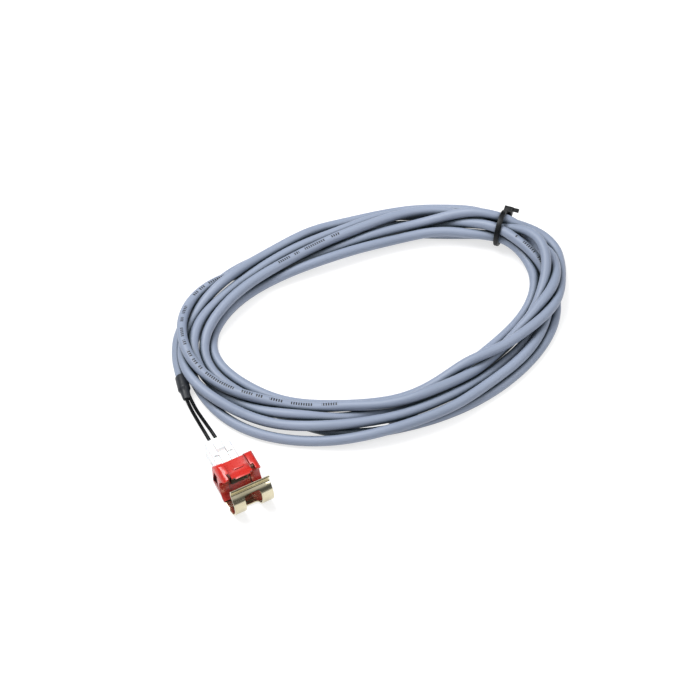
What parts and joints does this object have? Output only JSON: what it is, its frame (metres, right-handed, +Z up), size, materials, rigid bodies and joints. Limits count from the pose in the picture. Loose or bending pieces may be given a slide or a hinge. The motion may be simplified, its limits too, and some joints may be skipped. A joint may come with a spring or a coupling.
{
  "type": "clip-on pipe temperature sensor",
  "caption": "Clip-on pipe temperature sensor: a moulded body with a sprung sheet clip, a latched plug on two cores, and a tied coil of sheathed cable.",
  "frame": {"origin": "centre of the bottom of the sensor body and its clip, on the surface they rest on", "axes": "+X along the pipe's axis, +Y from the clip's front towards the plug, +Z up"},
  "size_m": [0.2093, 0.1346, 0.0195],
  "materials": {
    "red_plastic": "smooth moulded, slight gloss",
    "clip_metal": "satin rolled sheet, pale bronze",
    "shoe_metal": "satin",
    "bead_glass": "glossy black epoxy bead",
    "tinned_metal": "tinned",
    "potting": "cast resin",
    "white_plastic": "natural nylon, slight sheen",
    "core_skin": "glossy extruded",
    "sleeve_skin": "shrunk tube, satin",
    "cable_skin": "smooth extruded, satin",
    "tie_nylon": "nylon",
    "ferrule": "plastic collar on a tinned tube"
  },
  "bodies": {
    "head": {"housing": "red_plastic", "clip_base": "clip_metal", "contact_shoe": "shoe_metal", "thermistor_bead": "bead_glass", "thermistor_leads": "tinned_metal", "potting": "potting", "contact_pins": "tinned_metal"},
    "jaw": {"clip_jaw": "clip_metal"},
    "lead": {"plug_housing": "white_plastic", "crimp_terminals": "tinned_metal", "core_left": "core_skin", "core_right": "core_skin", "sleeve": "sleeve_skin", "cable_lead": "cable_skin", "cable_coil": "cable_skin", "cable_tie": "tie_nylon", "end_cores": "core_skin", "end_ferrules": "ferrule"},
    "latch": {"plug_latch": "white_plastic"}
  },
  "joints": [
    {"name": "clip_flex", "type": "hinge", "parent": "head", "child": "jaw", "pos_m": [0, -0.00619, 0.00057], "axis": [1, 0, 0], "range_deg": [0, 30], "stiffness_Nm_per_rad": 0.3},
    {"name": "plug_slide", "type": "slide", "parent": "head", "child": "lead", "axis": [0, 1, 0], "range_m": [0, 0.01]},
    {"name": "latch_press", "type": "hinge", "parent": "lead", "child": "latch", "pos_m": [0, 0.00875, 0.011], "axis": [1, 0, 0], "range_deg": [-3.6, 0], "stiffness_Nm_per_rad": 0.05}
  ]
}
